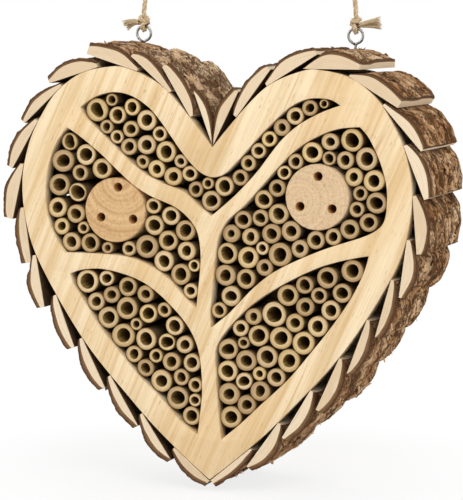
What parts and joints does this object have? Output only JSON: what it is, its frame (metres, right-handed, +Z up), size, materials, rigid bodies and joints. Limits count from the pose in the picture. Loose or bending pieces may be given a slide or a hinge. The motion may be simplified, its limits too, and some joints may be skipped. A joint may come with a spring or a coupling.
{
  "type": "insect hotel",
  "caption": "Heart-shaped wooden insect hotel with hollow reeds and drilled logs in its windows, a border of bark slabs, and a rope tied to two screw eyes.",
  "frame": {"origin": "where the rope hangs on its nail, at the underside of the rope's top, above the middle of the heart", "axes": "+Z up, +X to the right of someone who looks at the heart's face, +Y into the wall behind it; the face looks along -Y"},
  "size_m": [0.3083, 0.095, 0.4446],
  "materials": {
    "pine": "planed and sanded softwood board, unfinished",
    "back_board": "plain softwood board, unfinished",
    "bark": "rough conifer bark on pale sapwood",
    "log_wood": "sawn end grain",
    "reed": "cut dry reed",
    "steel": "bright zinc-plated wire",
    "jute": "twisted natural-fibre rope"
  },
  "bodies": {
    "rope": {"hanging_rope": "jute", "rope_knot_left": "jute", "rope_knot_right": "jute"},
    "house": {"front_frame": "pine", "back_board": "back_board", "reeds_top": "reed", "reeds_left": "reed", "reeds_right": "reed", "reeds_lower_left": "reed", "reeds_lower_right": "reed", "wide_reed_01": "reed", "wide_reed_02": "reed", "wide_reed_03": "reed", "wide_reed_04": "reed", "wide_reed_05": "reed", "wide_reed_06": "reed", "wide_reed_07": "reed", "wide_reed_08": "reed", "wide_reed_09": "reed", "wide_reed_10": "reed", "wide_reed_11": "reed", "wide_reed_12": "reed", "wide_reed_13": "reed", "wide_reed_14": "reed", "wide_reed_15": "reed", "log_left": "log_wood", "log_right": "log_wood", "bark_slab_left_01": "bark", "bark_slab_left_02": "bark", "bark_slab_left_03": "bark", "bark_slab_left_04": "bark", "bark_slab_left_05": "bark", "bark_slab_left_06": "bark", "bark_slab_left_07": "bark", "bark_slab_left_08": "bark", "bark_slab_left_09": "bark", "bark_slab_left_10": "bark", "bark_slab_left_11": "bark", "bark_slab_left_12": "bark", "bark_slab_left_13": "bark", "bark_slab_left_14": "bark", "bark_slab_left_15": "bark", "bark_slab_right_01": "bark", "bark_slab_right_02": "bark", "bark_slab_right_03": "bark", "bark_slab_right_04": "bark", "bark_slab_right_05": "bark", "bark_slab_right_06": "bark", "bark_slab_right_07": "bark", "bark_slab_right_08": "bark", "bark_slab_right_09": "bark", "bark_slab_right_10": "bark", "bark_slab_right_11": "bark", "bark_slab_right_12": "bark", "bark_slab_right_13": "bark", "bark_slab_right_14": "bark", "bark_slab_right_15": "bark", "screw_eye_left": "steel", "screw_eye_right": "steel"}
  },
  "joints": [
    {"name": "house_swing", "type": "hinge", "parent": "rope", "child": "house", "pos_m": [0, 0, -0.1268], "axis": [-1, 0, 0], "range_deg": [0, 85]}
  ]
}
